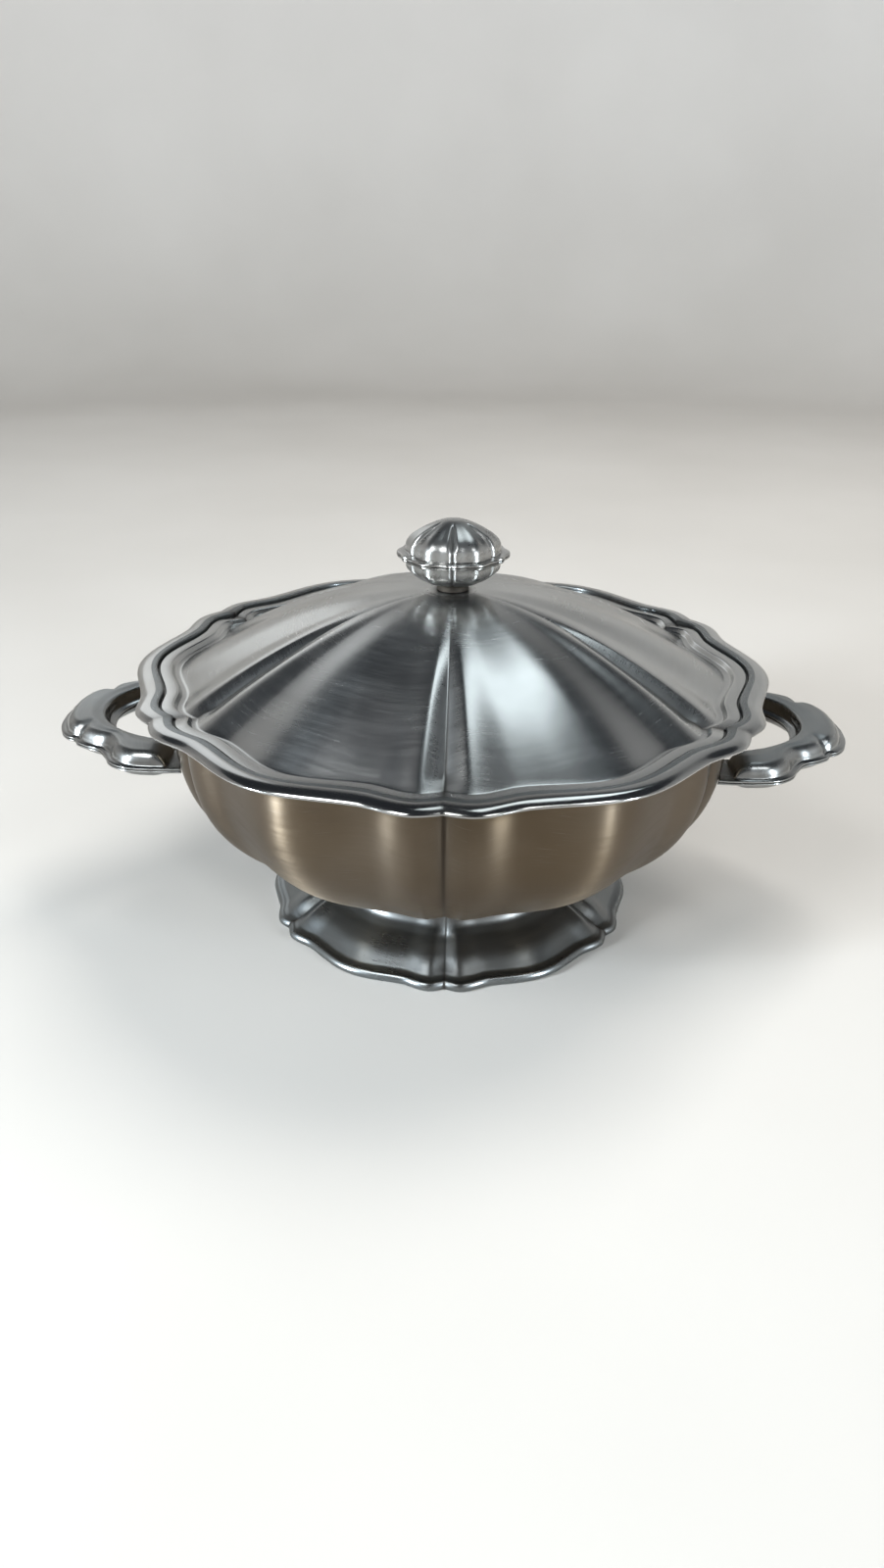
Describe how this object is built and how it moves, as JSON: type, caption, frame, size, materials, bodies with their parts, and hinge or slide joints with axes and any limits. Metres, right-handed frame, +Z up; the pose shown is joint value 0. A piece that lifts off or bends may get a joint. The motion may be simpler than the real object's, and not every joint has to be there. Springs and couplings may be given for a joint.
{
  "type": "soup tureen",
  "caption": "Lidded serving tureen in pressed stainless steel with a lobed bowl on a flared foot, hollow loop handles and a fluted lift-off lid with a hollow knob.",
  "frame": {"origin": "on the table under the centre of the foot", "axes": "+Z up, +X towards the right handle, -Y towards the front flute"},
  "size_m": [0.327, 0.2556, 0.167],
  "materials": {
    "satin_steel": "satin, with fine scratches round the axis",
    "polished_steel": "worn bright polish"
  },
  "bodies": {
    "tureen": {"bowl": "satin_steel", "foot": "polished_steel", "handle_right_upper_shell": "polished_steel", "handle_right_lower_shell": "polished_steel", "handle_left_upper_shell": "polished_steel", "handle_left_lower_shell": "polished_steel"},
    "lid": {"lid": "satin_steel", "knob_collar": "polished_steel", "knob_lower_shell": "polished_steel", "knob_upper_shell": "polished_steel", "knob_washer": "satin_steel", "knob_screw": "satin_steel", "knob_nut": "satin_steel"}
  },
  "joints": [
    {"name": "lid_lift", "type": "slide", "parent": "tureen", "child": "lid", "axis": [0, 0, 1], "range_m": [0, 0.12]}
  ]
}
